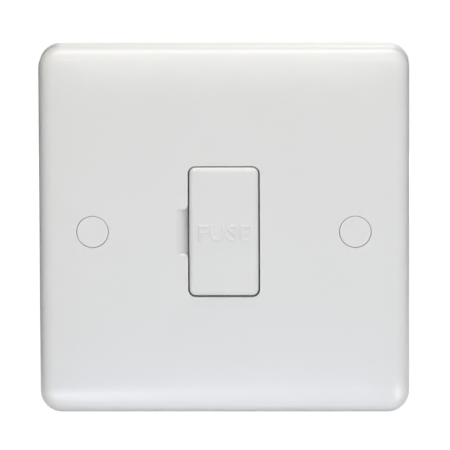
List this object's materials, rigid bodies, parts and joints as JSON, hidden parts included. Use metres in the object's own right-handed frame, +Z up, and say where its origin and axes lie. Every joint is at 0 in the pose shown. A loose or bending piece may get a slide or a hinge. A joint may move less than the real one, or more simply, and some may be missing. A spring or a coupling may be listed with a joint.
{
  "type": "fused spur unit",
  "caption": "Square white wall plate that connects a fixed appliance to the supply through a cartridge fuse in a pull-out carrier, with covered fixing screws and screw terminals behind.",
  "frame": {"origin": "middle of the wall plane, midway between the two fixing screws", "axes": "+Y into the wall, +Z up, +X to the right as seen from the front"},
  "size_m": [0.085, 0.0294, 0.085],
  "materials": {
    "plate_plastic": "glossy white moulding",
    "carrier_plastic": "glossy white moulding",
    "cover_plastic": "glossy white moulding",
    "base_plastic": "satin white moulding",
    "plated_steel": "bright zinc plate",
    "brass": "machined brass",
    "spring_strip": "rolled strip",
    "ceramic": "unglazed cream ceramic",
    "fuse_caps": "nickel plate",
    "fuse_wire": "drawn wire"
  },
  "bodies": {
    "unit": {"base_screws": "plated_steel", "earth_link": "spring_strip", "earth_load_terminal": "brass", "earth_supply_terminal": "brass", "fixing_screws": "plated_steel", "front_plate": "plate_plastic", "live_load_contact": "spring_strip", "live_load_terminal": "brass", "live_supply_contact": "spring_strip", "live_supply_terminal": "brass", "neutral_link": "spring_strip", "neutral_load_terminal": "brass", "neutral_supply_terminal": "brass", "terminal_base": "base_plastic", "terminal_screws": "plated_steel"},
    "carrier": {"fuse_carrier": "carrier_plastic", "fuse_tube": "ceramic", "fuse_end_cap_upper": "fuse_caps", "fuse_end_cap_lower": "fuse_caps", "fuse_element": "fuse_wire"},
    "left_cover": {"screw_cap_left": "cover_plastic"},
    "right_cover": {"screw_cap_right": "cover_plastic"}
  },
  "joints": [
    {"name": "carrier_slide", "type": "slide", "parent": "unit", "child": "carrier", "axis": [0, -1, 0], "range_m": [0, 0.016]},
    {"name": "left_cover_slide", "type": "slide", "parent": "unit", "child": "left_cover", "axis": [0, -1, 0], "range_m": [0, 0.006]},
    {"name": "right_cover_slide", "type": "slide", "parent": "unit", "child": "right_cover", "axis": [0, -1, 0], "range_m": [0, 0.006]}
  ]
}
